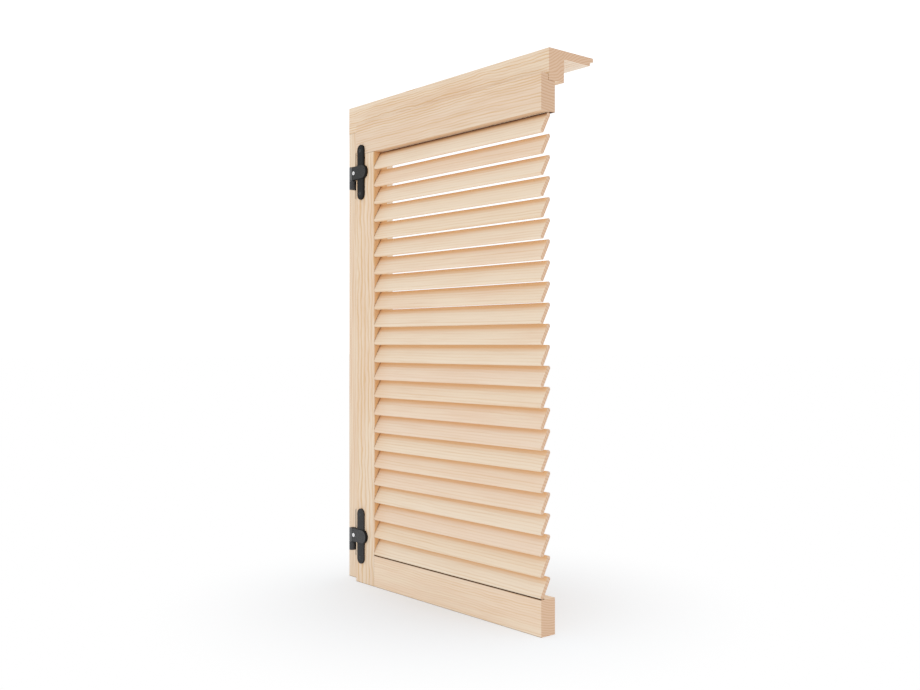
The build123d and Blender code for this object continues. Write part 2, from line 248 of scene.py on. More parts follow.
# Shader maths
class Wire:
    """A socket in a material. Operators on it add Math nodes, and node adds any other node."""

    def __init__(self, tree, socket=None):
        self.tree = tree
        self.socket = socket

    def node(self, kind, settings=None, inputs=None, output=0):
        """Adds a node, sets its settings, then its sockets, and gives the wire of one output."""
        made = self.tree.nodes.new("ShaderNode" + kind)
        for name, value in (settings or {}).items():
            if name == "stops":
                ramp = made.color_ramp.elements
                while len(ramp) < len(value):
                    ramp.new(1.0)
                for element, (place, level) in zip(ramp, value):
                    element.position = place
                    element.color = (level, level, level, 1.0)
            else:
                setattr(made, name, value)
        for key, value in (inputs or {}).items():
            if isinstance(value, Wire):
                self.tree.links.new(value.socket, made.inputs[key])
            else:
                made.inputs[key].default_value = value
        return Wire(self.tree, made.outputs[output] if len(made.outputs) else None)

    def math(self, operation, *values):
        """Math node on any mix of wires and numbers."""
        return self.node("Math", {"operation": operation}, dict(enumerate(values)))

    def __add__(self, other):
        return self.math("ADD", self, other)

    __radd__ = __add__

    def __sub__(self, other):
        return self.math("SUBTRACT", self, other)

    def __rsub__(self, other):
        return self.math("SUBTRACT", other, self)

    def __mul__(self, other):
        return self.math("MULTIPLY", self, other)

    __rmul__ = __mul__

    def __truediv__(self, other):
        return self.math("DIVIDE", self, other)

    def __abs__(self):
        return self.math("ABSOLUTE", self)

    def __floor__(self):
        return self.math("FLOOR", self)

    def parts(self):
        """The three parts of a vector."""
        split = self.node("SeparateXYZ", inputs={0: self}).socket.node
        return [Wire(self.tree, output) for output in split.outputs]

    def vector(self, *parts):
        """Vector of three wires or numbers."""
        return self.node("CombineXYZ", inputs=dict(enumerate(parts)))

    def mix(self, factor, low, high):
        """Colour between two others."""
        return self.node("Mix", {"data_type": "RGBA"}, {0: factor, 6: low, 7: high}, output=2)

    def lit(self, colour, value):
        """Colour made lighter or darker by a value about 1."""
        return self.node("HueSaturation", inputs={"Value": value, "Color": colour})

    def noise(self, place, detail, rough, scale=1.0):
        """Noise about zero, with about as many features in a unit of the place as the scale says."""
        inputs = {"Vector": place, "Scale": scale, "Detail": detail, "Roughness": rough}
        return self.node("TexNoise", inputs=inputs) - 0.5

    def chance(self, *parts):
        """Chance value from 0 to 1 that belongs to three numbers."""
        return self.node("TexWhiteNoise", {"noise_dimensions": "3D"}, {"Vector": self.vector(*parts)})

    def smooth(self, low, high):
        """Smooth step from 0 at one value to 1 at another."""
        inputs = {0: self, 1: low, 2: high, 3: 0.0, 4: 1.0}
        return self.node("MapRange", {"interpolation_type": "SMOOTHSTEP"}, inputs)


def opaque(colour):
    """Colour with an alpha of 1, as sockets take it."""
    return (*colour, 1.0)


BLACK = opaque((0.0, 0.0, 0.0))
WHITE = opaque((1.0, 1.0, 1.0))


def finish_material(name, paint):
    """Material whose shader sockets come from a function of its first wire."""
    material = bpy.data.materials.new(name)
    material.use_nodes = True
    material.node_tree.nodes.clear()
    wire = Wire(material.node_tree)
    shader = wire.node("BsdfPrincipled", inputs=paint(wire))
    wire.node("OutputMaterial", inputs={"Surface": shader})
    return material


# Pine
class PaintedShade(NamedTuple):
    """Painted shadow near a place on an axis, as far as a reach, between two places on another axis: darker
    wood where shade falls in joints, corners and gaps and at the foot.

    Its colour is the name of one in the pine's settings, and dark says how much of it there is.
    """

    axis: str
    place: float
    reach: float
    dark: float
    along: str = "X"
    start: float = -1.0
    stop: float = 1.0
    colour: str = "shadow"


class Board(NamedTuple):
    """How a board lies in its tree and how it looks.

    Its pith is given in millimetres across the grain from the board's middle, the sweep and wave of its
    rings in millimetres too, and its ring, contrast and light against those of a usual board; the light
    draws a whole board lighter or darker, as painted light for how the light falls on it. A tone above
    0 makes it rosy, and one below 0 pale. Its painted shades are painted shadows on it.
    """

    grain: str
    pith: tuple = (0.0, 0.0)
    seed: float = 0.0
    tone: float = 0.0
    ring: float = 1.0
    wave: float = 4.0
    sweep: float = 15.0
    contrast: float = 1.0
    light: float = 1.0
    bleach: float = 0.0
    painted_shades: tuple = ()


class Figure(NamedTuple):
    """A figure in the wood, made by noise.

    It has a number of features to a millimetre across and along the grain, and its noise a detail and a
    roughness. The other values say how much it makes the wood rosy, dark as a year line, light and dull.
    """

    across: float
    along: float
    detail: float
    rough: float
    rosy: float = 0.0
    line: float = 0.0
    light: float = 0.0
    dull: float = 0.0


class Lay(NamedTuple):
    """Where a point lies in its board, and how the board looks there. Each value is a wire or a number.

    The places across, through and along the grain and those of the pith are in millimetres. The depth is
    the share of painted warm shade.
    """

    across: object
    through: object
    along: object
    pith_across: object
    pith_through: object
    seed: object
    tone: object
    depth: object
    bleach: object


SWEEP = Figure(0.011, 0.0034, 2.0, 0.5)
RIPPLE = Figure(0.022, 0.013, 2.0, 0.5)
FIBRE = Figure(0.9, 0.011, 4.0, 0.65, light=0.16, dull=0.15)
STREAK = Figure(0.22, 0.006, 3.0, 0.6, rosy=0.9, line=0.9, light=-0.12)
FLAME = Figure(0.03, 0.004, 2.0, 0.5, rosy=1.4, line=0.55)
PORES = Figure(1.9, 1.9, 3.0, 0.6, light=0.22)

# Year rings: how dark each is from its start to its end, how much rings differ, and the tree's taper
RING_STOPS = ((0.0, 0.0), (0.42, 0.10), (0.84, 1.0), (1.0, 0.0))
RING_SPREAD = 0.7
RING_DRAW = 5.0
LINE_STRENGTH = 0.85
LINE_RELIEF = 0.3
TREE_TAPER = 0.006

# Looks of all pine: its tone before a board's own, what counts as a sawn end, how dull its painted shadows
# are, and its shine and relief
EVEN_TONE = 0.5
SAWN_FACING = (0.6, 0.9)
SAWN_DULL = 0.18
SHADE_DULL = 0.4
PINE_SHINE = 0.08
PINE_RELIEF = {"Strength": 0.35, "Distance": 0.0003}

# Limits of the slats' piths and painted shaded edges, in millimetres, and of their tones
SLAT_PITHS_ACROSS = (70.0, 160.0)
SLAT_PITHS_THROUGH = (-20.0, 60.0)
SLAT_TONES = (-1.0, 0.6)
SLAT_SHADED_EDGE = (3.0, 20.0)
SLAT_SEED = 3.0
SLAT_SEED_STEP = 7.31


def board_lay(node, board):
    """How the points of one board lie: from its middle, with the grain along its own axis."""
    centre = middle(node)

    def lay(wire, spots):
        x, y, z = [(spot - offset) * MILLIMETRES for spot, offset in zip(spots, centre)]
        places = (y, z, x) if board.grain == "X" else (x, y, z)
        return Lay(*places, *board.pith, board.seed, board.tone, 0.0, board.bleach)

    return lay


def slat_lay(settings):
    """How the points of all slats lie: the height gives a slat's number, and chance its pith and looks.

    The depth, the share of painted warm shade where the slat above shades this one, grows from the middle
    of a slat to its high edge.
    """
    slope = settings.slat_slope
    limits = (SLAT_PITHS_ACROSS, SLAT_PITHS_THROUGH, SLAT_TONES, (0.0, settings.slat_bleach))

    def lay(wire, spots):
        x, y, z = spots
        above = (z - LOWEST_SLAT.z) / SLAT_PITCH
        number = floor(above + 0.5)
        rise = (above - number) * (SLAT_PITCH * MILLIMETRES)
        run = (y - LOWEST_SLAT.y) * MILLIMETRES
        across = rise * sin(slope) + run * cos(slope)
        through = run * sin(slope) - rise * cos(slope)
        pith_across, pith_through, tone, bleach = [
            wire.chance(number, float(draw), 0.0) * (high - low) + low
            for draw, (low, high) in enumerate(limits, 1)
        ]
        seed = number * SLAT_SEED_STEP + SLAT_SEED
        depth = across.smooth(*SLAT_SHADED_EDGE) * settings.slat_warm_shade
        return Lay(across, through, x * MILLIMETRES, pith_across, pith_through, seed, tone, depth, bleach)

    return lay


def painted_shade_share(wire, shade_mark, spots):
    """Share of the painted shadow's colour: full at its place, none at its reach, and none outside its
    stretch.
    """
    away = abs(spots["XYZ".index(shade_mark.axis)] - shade_mark.place).smooth(0.0, shade_mark.reach)
    spot = spots["XYZ".index(shade_mark.along)]
    inside = wire.math("GREATER_THAN", spot, shade_mark.start) * wire.math("LESS_THAN", spot, shade_mark.stop)
    return (1.0 - away) * inside * shade_mark.dark


def pine(name, settings, board, lay, ring):
    """Planed pine with year rings round its pith and fibres along the grain.

    A ring's number is the distance from the pith, bent by the sweep and the wave, over the ring's width.
    The colour darkens through each ring and falls back at its end. Faces that look along the grain are
    end grain. Painted warm shade and painted shadows are mixed over the face.
    """

    def paint(wire):
        spots = wire.node("TexCoord", output="Object").parts()
        point = lay(wire, spots)

        def figure(kind, shift):
            place = wire.vector(
                point.across * kind.across + shift,
                point.through * kind.across,
                point.along * kind.along)
            return wire.noise(place, kind.detail, kind.rough)

        bend = figure(SWEEP, point.seed) * board.sweep + figure(RIPPLE, point.seed) * board.wave
        far_across = point.across - point.pith_across + point.along * TREE_TAPER
        far_through = point.through - point.pith_through
        radius = wire.math("SQRT", far_across * far_across + far_through * far_through)
        rings = (radius + bend) / (ring * board.ring * MILLIMETRES) + point.seed
        number = floor(rings)
        late = wire.node("ValToRGB", {"stops": RING_STOPS}, {0: rings - number})
        line = late * (1.0 - RING_SPREAD + RING_SPREAD * wire.chance(number, point.seed, RING_DRAW))

        fibre = figure(FIBRE, point.seed)
        streak = figure(STREAK, point.seed)
        flame = figure(FLAME, point.seed)
        pores = figure(PORES, 0.0)
        facing = wire.node("TexCoord", output="Normal").parts()["XYZ".index(board.grain)]
        sawn = abs(facing).smooth(*SAWN_FACING)

        rosy = (EVEN_TONE + point.tone + flame * FLAME.rosy + streak * STREAK.rosy).smooth(0.0, 1.0)
        wood = wire.mix(rosy, opaque(settings.pale), opaque(settings.rosy))
        wood = wire.mix(point.bleach, wood, opaque(settings.bleached))
        strength = (line * LINE_STRENGTH + streak * STREAK.line + flame * FLAME.line) * board.contrast
        face = wire.mix(strength, wood, opaque(settings.year_line))
        # Painted warm shade toward the high edge of a slat
        face = wire.mix(point.depth, face, opaque(settings.deep))
        face = wire.lit(face, board.light + fibre * FIBRE.light + streak * (STREAK.light * board.contrast))
        end = wire.mix(late, opaque(settings.end_pale), opaque(settings.end_line))
        end = wire.lit(end, board.light + pores * PORES.light)

        dull = fibre * FIBRE.dull + sawn * SAWN_DULL
        # Painted shadows over the face at the joints, gaps and foot, made rougher where they lie
        for shade_mark in board.painted_shades:
            shade = painted_shade_share(wire, shade_mark, spots)
            face = wire.mix(shade, face, opaque(getattr(settings, shade_mark.colour)))
            dull = dull + shade * SHADE_DULL
        height = fibre * (1.0 - sawn) + pores * sawn + line * LINE_RELIEF
        return {
            "Base Color": wire.mix(sawn, face, end),
            "Roughness": settings.roughness + dull,
            "Specular IOR Level": PINE_SHINE,
            "Normal": wire.node("Bump", inputs={**PINE_RELIEF, "Height": height}),
        }

    return finish_material(name, paint)


def dress(nodes, material):
    """Gives CAD nodes a material in place of the plain one."""
    for node in nodes:
        mesh = frame["nodes"][node].data
        mesh.materials.clear()
        mesh.materials.append(material)


def dress_boards(settings, boards):
    """Dresses each board in pine of its own."""
    for node, board in boards.items():
        dress([node], pine("pine_" + node, settings, board, board_lay(node, board), settings.ring))


# Painted shade and shadow at the joints, in the gaps under and beside the slats, in the stile's corners and
# at the foot, in metres from the places that the nodes give
FOOT_SHADOW = PaintedShade("Z", 0.0, reach=0.003, dark=0.7)
HEAD_JOINT_SHADOW = PaintedShade("Z", HEAD_LOW, reach=0.0015, dark=0.9)
LEAF_LIP_SHADOW = PaintedShade("Z", LEAF_TOP, reach=0.006, dark=0.35, along="X", start=LEAF_LEFT)
STILE_JOINT_SHADOW = PaintedShade("Z", RAIL_LOW, reach=0.002, dark=0.95)
STILE_MARGIN = 0.003
STILE_EDGE_SHADE = PaintedShade(
    "X", STILE_RIGHT, reach=0.0006, dark=0.8, along="Y", start=LEAF_FRONT + STILE_MARGIN, colour="deep")
HOUSING_MOUTH = 0.0016
HOUSING_MOUTH_SHADOWS = PaintedShade(
    "X", STILE_RIGHT - HOUSING_MOUTH, reach=HOUSING_MOUTH, dark=1.0,
    along="Y", start=LEAF_FRONT + STILE_MARGIN, stop=LEAF_REAR - STILE_MARGIN)
RAIL_JOINT_SHADOW = PaintedShade("X", STILE_RIGHT, reach=0.0015, dark=0.9)
RAIL_SKIN = 0.0012
RAIL_ARRIS = 0.002
# Painted warm shade on the top rail's underside, and painted shadow in the slit behind the top slat
RAIL_UNDERSIDE_SHADE = PaintedShade(
    "Z", RAIL_LOW, reach=RAIL_SKIN, dark=0.35, along="Y", start=LEAF_FRONT + RAIL_ARRIS, colour="deep")
BEHIND_SLAT = 0.0108
RAIL_SLIT_SHADOW = PaintedShade("Z", RAIL_LOW, reach=RAIL_SKIN, dark=1.0, along="Y", start=LOWEST_SLAT.y + BEHIND_SLAT)
LEDGE = 0.0026
LEDGE_BEFORE = 0.010
LEDGE_BEHIND = 0.014
RAIL_LEDGE_SHADOW = PaintedShade(
    "Z", RAIL_TOP, reach=LEDGE, dark=0.98,
    along="Y", start=LEAF_FRONT - LEDGE_BEFORE, stop=LEAF_FRONT + LEDGE_BEHIND)
SLAT_NOSE = 0.004
# Painted shade on the slats: under the top rail, above the bottom rail, warm near the stile and dark at the
# housing mouths
SLAT_SHADES = (
    PaintedShade("Z", RAIL_LOW, reach=0.014, dark=1.0),
    PaintedShade("Z", RAIL_TOP, reach=LEDGE, dark=0.9),
    PaintedShade("X", STILE_RIGHT, reach=0.08, dark=0.22, colour="deep"),
    PaintedShade("X", STILE_RIGHT, reach=0.0045, dark=0.5, along="Y", start=LOWEST_SLAT.y - SLAT_NOSE),
)


# Metal
class Skin(NamedTuple):
    """A skin on metal, made by noise: its features to a metre, and the noise's detail and roughness.

    The other values say how much it makes the metal light, dull and worn.
    """

    scale: float
    detail: float
    rough: float
    light: float
    dull: float
    wear: float = 0.0


SAND = Skin(1000.0, 3.0, 0.6, light=0.5, dull=0.2, wear=0.8)
CLOUDS = Skin(120.0, 2.0, 0.5, light=0.4, dull=0.15)
TURNING = Skin(900.0, 3.0, 0.6, light=0.25, dull=0.2)

# Looks of the coat: its roughness, shine and relief, and the rubbing from which it pales until it is gone
COAT_ROUGHNESS = 0.5
COAT_SHINE = 0.05
COAT_RELIEF = {"Strength": 0.5, "Distance": 0.0002}
RUBBED_THROUGH = (0.15, 1.1)
WORN_DULL = -0.1

# How much paler the hinge pieces' coat is drawn, from 0 to about 1, or less than 0 where the coat stays
# darkest: rubbed wear, and on the knuckles, barrels and lower hinge also a painted highlight for how the
# light falls
BAR_WEAR_AND_LIGHT = {"upper": -0.35, "lower": 0.36}
STRAP_WEAR_AND_LIGHT = {"upper": 0.38, "lower": 0.52}
STRAP_FLANK_WEAR = -0.9
KNUCKLE_WEAR_AND_HIGHLIGHT = 1.0
BARREL_WEAR_AND_HIGHLIGHT = 0.56
EDGE_WEAR = 0.15
HEAD_WEAR = 0.5

# Looks of bare metal: how close its marks are along each axis, its roughness and its relief
STEEL_MARKS = (0.2, 0.2, 3.0)
ZINC_MARKS = (1.0, 1.0, 1.0)
STEEL_ROUGHNESS = 0.35
ZINC_ROUGHNESS = 0.22
METAL_RELIEF = {"Strength": 0.2, "Distance": 0.0001}


def black_coat(settings):
    """Matt black coat with a fine sandy skin, paler where the edges are rubbed and where a painted
    highlight lies on the knuckles, barrels and lower hinge.
    """

    def paint(wire):
        spot = wire.node("TexCoord", output="Object")
        sand = wire.noise(spot, SAND.detail, SAND.rough, SAND.scale)
        clouds = wire.noise(spot, CLOUDS.detail, CLOUDS.rough, CLOUDS.scale)
        # Rubbed wear and painted highlight, carried by each piece's points
        rubbed = wire.node("Attribute", {"attribute_name": "rubbed"}, output="Fac")
        worn = (rubbed + sand * SAND.wear).smooth(*RUBBED_THROUGH)
        colour = wire.mix(worn, opaque(settings.coat), opaque(settings.rubbed))
        dull = sand * SAND.dull + clouds * CLOUDS.dull + worn * WORN_DULL
        return {
            "Base Color": wire.lit(colour, 1.0 + sand * SAND.light + clouds * CLOUDS.light),
            "Roughness": COAT_ROUGHNESS + dull,
            "Specular IOR Level": COAT_SHINE,
            "Normal": wire.node("Bump", inputs={**COAT_RELIEF, "Height": sand}),
        }

    return finish_material("hinge_coat", paint)


def shared_coat(context):
    """The one coat of all the hinges' black pieces."""
    return bpy.data.materials.get("hinge_coat") or black_coat(context.scene.shutter_hinges)


def bright_metal(name, colour, rough, marks):
    """Bare metal with fine turned marks, drawn closer or wider along each axis."""

    def paint(wire):
        spot = wire.node("TexCoord", output="Object")
        place = wire.node("Mapping", inputs={"Vector": spot, "Scale": marks})
        turned = wire.noise(place, TURNING.detail, TURNING.rough, TURNING.scale)
        return {
            "Base Color": wire.lit(opaque(colour), 1.0 + turned * TURNING.light),
            "Metallic": 1.0,
            "Roughness": rough + turned * TURNING.dull,
            "Normal": wire.node("Bump", inputs={**METAL_RELIEF, "Height": turned}),
        }

    return finish_material(name, paint)


# Surfaces, with the points on their round stretches
EDGE_STEPS = 5
BAR_END_STEPS = 25
STRAP_END_STEPS = 41
ROUND_STEPS = 64
HEAD_STEPS = 41

# Shares of a rounding, of a bar's half width and of a screw head's radius
GUARD_SHARE = 1.6
CROWN_SHARE = 0.9
ARM_HALF_SHARE = 0.14
ARM_WALL_SHARE = 0.05
ARM_REACH_SHARE = 0.62
ARM_END_SHARE = 0.12
ARM_RISE_SHARE = 0.45
CROSS_DEPTH_SHARE = 0.42

# Angle past which an edge is shaded as a sharp one
SHARP = radians(35.0)


def inward(outline):
    """How each corner of an outline moves when all its edges move in by one: the mitre of its two edges."""
    step = np.roll(outline, -1, 0) - outline
    side = np.stack((-step[:, 1], step[:, 0]), 1) / np.linalg.norm(step, axis=1)[:, None]
    before = np.roll(side, 1, 0)
    return (side + before) / (1.0 + (side * before).sum(1))[:, None]


def arc(centre, radius, start, end, steps):
    """Points of an arc from one angle to another: the centre plus the radius times cosine and sine."""
    angle = np.linspace(start, end, steps)
    return np.stack((centre[0] + radius * np.cos(angle), centre[1] + radius * np.sin(angle)), 1)


def circle(radius):
    """Points of a whole circle about zero, as an arc whose last point is left out."""
    return arc((0.0, 0.0), radius, 0.0, 2 * pi, ROUND_STEPS + 1)[:-1]


def rounding(height, edge, both=False, flank=0.0):
    """Rows of a solid with a rounded front edge: inset from the outline, height and share of rubbing.

    Along the quarter round the inset is the radius times 1 minus the cosine, and the rise its sine.
    A guard row on each side of it keeps the shading flat. The flank gives the rubbing of the sides.
    """
    turn = np.linspace(0.0, pi / 2, EDGE_STEPS)
    rub = np.sin(2 * turn) * EDGE_WEAR + flank * np.cos(turn)
    top = np.stack((edge * (1 - np.cos(turn)), height - edge + edge * np.sin(turn), rub), 1)
    guard = edge * GUARD_SHARE
    flat = np.array([[guard, height, 0.0]])
    side = np.array([[0.0, height - guard, flank]])
    rows = np.concatenate((side, top, flat))
    foot = rows[::-1] * (1, -1, 1) + (0, height, 0) if both else np.array([[0.0, 0.0, flank]])
    return np.concatenate((foot, rows))


def ring_solid(outline, rows):
    """Solid whose rings follow an outline: each row moves the outline in and lifts it to a height."""
    count = len(outline)
    flat = outline[None] + inward(outline)[None] * rows[:, 0, None, None]
    lift = np.broadcast_to(rows[:, 1, None, None], (len(rows), count, 1))
    points = np.concatenate((flat, lift), 2).reshape(-1, 3)
    here = np.arange(count)
    after = np.roll(here, -1)
    base = np.arange(len(rows) - 1)[:, None] * count
    quads = np.stack((base + here, base + after, base + count + after, base + count + here), 2)
    caps = [here[::-1].tolist(), (here + (len(rows) - 1) * count).tolist()]
    return points, quads.reshape(-1, 4).tolist() + caps, np.repeat(rows[:, 2], count)


def head_solid(radius, dome):
    """Raised screw head: a square grid pressed into a disc, domed, with a cross sunk into it.

    A grid point (s, t) goes to (s root(1 - t²/2), t root(1 - s²/2)). The height is the dome times
    1 minus the squared distance, less the cross. An arm of the cross is the product of two straight steps,
    over its wall and over its end, and gets shallower outwards.
    """
    s, t = np.meshgrid(np.linspace(-1, 1, HEAD_STEPS), np.linspace(-1, 1, HEAD_STEPS))
    u = s * np.sqrt(1 - t * t / 2)
    v = t * np.sqrt(1 - s * s / 2)

    def arm(wide, long):
        wall = np.clip((ARM_HALF_SHARE - np.abs(wide)) / ARM_WALL_SHARE, 0, 1)
        end = np.clip((ARM_REACH_SHARE - np.abs(long)) / ARM_END_SHARE, 0, 1)
        return wall * end * (1.0 - ARM_RISE_SHARE * np.abs(long) / ARM_REACH_SHARE)

    cross = np.maximum(arm(u, v), arm(v, u))
    height = dome * (1 - (u * u + v * v)) - cross * radius * CROSS_DEPTH_SHARE
    points = np.stack((u * radius, v * radius, height), 2).reshape(-1, 3)
    first = np.arange(HEAD_STEPS - 1)
    here = (first[:, None] * HEAD_STEPS + first).ravel()
    quads = np.stack((here, here + 1, here + 1 + HEAD_STEPS, here + HEAD_STEPS), 1)
    return points, quads.tolist(), (1 - cross).ravel() * HEAD_WEAR


def on_wall(solid, x, y, z, wear=0.0):
    """Solid drawn in X and Z with its height out of the wall, paler all over as much as its wear: rubbed
    wear, and painted highlight.
    """
    points, faces, rub = solid
    return points[:, (0, 2, 1)] * (1, -1, 1) + (x, y, z), faces, rub + wear


def upright(solid, x, y, z, wear=0.0):
    """Solid drawn in X and Y with its height up Z, paler all over as much as its wear: rubbed wear, and
    painted highlight.
    """
    points, faces, rub = solid
    return points + (x, y, z), faces, rub + wear


def add_piece(name, solids, material, body, node):
    """Object of one or more solids that rides on a body and stands for a CAD node."""
    mesh = bpy.data.meshes.new(name)
    starts = np.cumsum([0] + [len(points) for points, faces, rub in solids])
    faces = [[i + start for i in face] for start, solid in zip(starts, solids) for face in solid[1]]
    mesh.from_pydata(np.concatenate([solid[0] for solid in solids]).tolist(), [], faces)
    rub = mesh.attributes.new("rubbed", "FLOAT", "POINT")
    rub.data.foreach_set("value", np.concatenate([solid[2] for solid in solids]).astype(np.float32))
    mesh.polygons.foreach_set("use_smooth", np.ones(len(mesh.polygons), bool))
    mesh.materials.append(material)
    mesh.validate()
    mesh.set_sharp_from_angle(angle=SHARP)
    piece = bpy.data.objects.new(name, mesh)
    bpy.context.scene.collection.objects.link(piece)
    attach(piece, body)
    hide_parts(node)


# Stage, with what no user changes: sensor, far limit, spread of the bright side, and the tone curve
SENSOR_WIDTH = 36.0
CLIP_END = 300.0
DOME_FALL = (-0.35, 0.85)
FLOOR_ROUGHNESS = 0.8
CURVE_STEPS = 12
COMBINED_CURVE = 3


def pale_floor(settings):
    """Matt floor that fades to plain white light with the distance from the part."""

    def paint(wire):
        x, y, _ = wire.node("TexCoord", output="Object").parts()
        away = wire.math("SQRT", x * x + y * y).smooth(settings.fade_start, settings.fade_end)
        return {
            "Base Color": wire.mix(away, opaque(settings.floor), BLACK),
            "Emission Color": wire.mix(away, BLACK, WHITE),
            "Emission Strength": settings.white,
            "Roughness": FLOOR_ROUGHNESS,
            "Specular IOR Level": 0.0,
        }

    return finish_material("pale_floor", paint)


def lay_floor(scene, settings):
    """One square at the part's foot."""
    half = settings.floor_size / 2
    mesh = bpy.data.meshes.new("studio_floor")
    corners = [(-half, -half, 0.0), (half, -half, 0.0), (half, half, 0.0), (-half, half, 0.0)]
    mesh.from_pydata(corners, [], [(0, 1, 2, 3)])
    mesh.materials.append(pale_floor(settings))
    floor_piece = bpy.data.objects.new("studio_floor", mesh)
    scene.collection.objects.link(floor_piece)


def light_dome(scene, settings):
    """White dome all round, a little brighter on the side it aims at, and plain white as a backdrop."""
    world = bpy.data.worlds.new("studio_dome")
    world.use_nodes = True
    world.node_tree.nodes.clear()
    wire = Wire(world.node_tree)
    sight = wire.node("TexCoord", output="Generated")
    aim = Vector(settings.dome_aim).normalized()
    toward = wire.node("VectorMath", {"operation": "DOT_PRODUCT"}, {0: sight, 1: aim}, output="Value")
    glow = settings.dome_dim + toward.smooth(*DOME_FALL) * (settings.dome_bright - settings.dome_dim)
    seen = wire.node("LightPath", output="Is Camera Ray")
    strength = glow + seen * (settings.backdrop - glow)
    dome = wire.node("Background", inputs={"Color": WHITE, "Strength": strength})
    wire.node("OutputWorld", inputs={"Surface": dome})
    scene.world = world


def place_camera(scene, settings):
    """Level camera at its place, turned about the upright axis."""
    lens = bpy.data.cameras.new("camera")
    lens.sensor_width = SENSOR_WIDTH
    lens.lens = settings.lens
    lens.clip_end = CLIP_END
    camera = bpy.data.objects.new("camera", lens)
    camera.location = settings.camera_place
    camera.rotation_euler = (pi / 2, 0.0, settings.camera_turn)
    scene.collection.objects.link(camera)
    scene.camera = camera


def tone_curve(view, white):
    """Film-like response: light x shows as x (1 + x / white squared) / (1 + x), so white shows as 1."""
    view.view_transform = "Standard"
    view.use_curve_mapping = True
    mapping = view.curve_mapping
    mapping.white_level = (white, white, white)
    points = mapping.curves[COMBINED_CURVE].points
    for share in (np.arange(1, CURVE_STEPS) / CURVE_STEPS) ** 2:
        light = share * white
        points.new(share, light * (1.0 + light / white ** 2) / (1.0 + light))
    mapping.update()


# Operators
class SHUTTER_OT_frame_boards(Operator):
    """Pine of the head, the jamb and their linings"""

    bl_idname = "shutter.frame_boards"
    bl_label = "Frame boards"

    def execute(self, context):
        dress_boards(context.scene.shutter_pine, {
            "frame_head": Board(
                "X", pith=(-50.0, 100.0), seed=2.3, ring=0.95, wave=13.0,
                contrast=1.8, painted_shades=(LEAF_LIP_SHADOW,)),
            "frame_jamb": Board(
                "Z", pith=(150.0, 60.0), seed=11.7, tone=0.05, ring=1.7, wave=14.0,
                contrast=1.4, light=0.99, painted_shades=(HEAD_JOINT_SHADOW, FOOT_SHADOW)),
            "head_lining": Board("X", pith=(70.0, -120.0), seed=23.1, tone=0.1, bleach=0.6),
            "jamb_lining": Board("Z", pith=(110.0, 90.0), seed=31.9, bleach=0.3),
        })
        return {"FINISHED"}


class SHUTTER_OT_leaf_boards(Operator):
    """Pine of the stile and the rails"""

    bl_idname = "shutter.leaf_boards"
    bl_label = "Leaf boards"

    def execute(self, context):
        dress_boards(context.scene.shutter_pine, {
            "leaf_stile": Board(
                "Z", pith=(-130.0, 75.0), seed=41.3, ring=2.0, wave=20.0,
                contrast=1.6, painted_shades=(STILE_JOINT_SHADOW, FOOT_SHADOW, STILE_EDGE_SHADE, HOUSING_MOUTH_SHADOWS)),
            # The top rail is drawn darker: painted shade for how the light falls on it
            "leaf_top_rail": Board(
                "X", pith=(14.0, 150.0), seed=53.9, tone=0.3, wave=9.0,
                contrast=1.5, light=0.95, painted_shades=(RAIL_UNDERSIDE_SHADE, RAIL_SLIT_SHADOW)),
            # The bottom rail is drawn lighter: painted light for how the light falls on it
            "leaf_bottom_rail": Board(
                "X", pith=(24.0, 118.0), seed=67.2, tone=0.15, ring=0.9, wave=8.0,
                contrast=0.95, light=1.045, painted_shades=(RAIL_JOINT_SHADOW, FOOT_SHADOW, RAIL_LEDGE_SHADOW)),
        })
        return {"FINISHED"}


class SHUTTER_OT_slats(Operator):
    """Pine of the slats, each from its own board"""

    bl_idname = "shutter.slats"
    bl_label = "Slats"

    def execute(self, context):
        settings = context.scene.shutter_pine
        board = Board("X", sweep=8.0, contrast=0.68, light=1.04, painted_shades=SLAT_SHADES)
        dress(SLATS, pine("pine_slats", settings, board, slat_lay(settings), settings.slat_ring))
        return {"FINISHED"}


class SHUTTER_OT_hinge_bars(Operator):
    """Round-ended bars on the leaf, their front edges rounded"""

    bl_idname = "shutter.hinge_bars"
    bl_label = "Hinge bars"

    def execute(self, context):
        settings = context.scene.shutter_hinges
        for side in SIDES:
            node = side + "_hinge_bar"
            low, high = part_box(node)
            half = (high - low) / 2
            radius = half.x + settings.bar_rim
            straight = half.z - radius
            outline = np.concatenate((
                arc((0.0, straight), radius, 0.0, pi, BAR_END_STEPS),
                arc((0.0, -straight), radius, pi, 2 * pi, BAR_END_STEPS),
            ))
            height = 2 * half.y
            crown = np.array([[half.x * CROWN_SHARE, height + settings.bar_crown, 0.0]])
            rows = np.concatenate((rounding(height, settings.bar_edge), crown))
            spot = middle(node)
            solid = on_wall(ring_solid(outline, rows), spot.x, LEAF_FRONT, spot.z, BAR_WEAR_AND_LIGHT[side])
            add_piece(side + "_bar", [solid], shared_coat(context), "leaf", node)
        return {"FINISHED"}


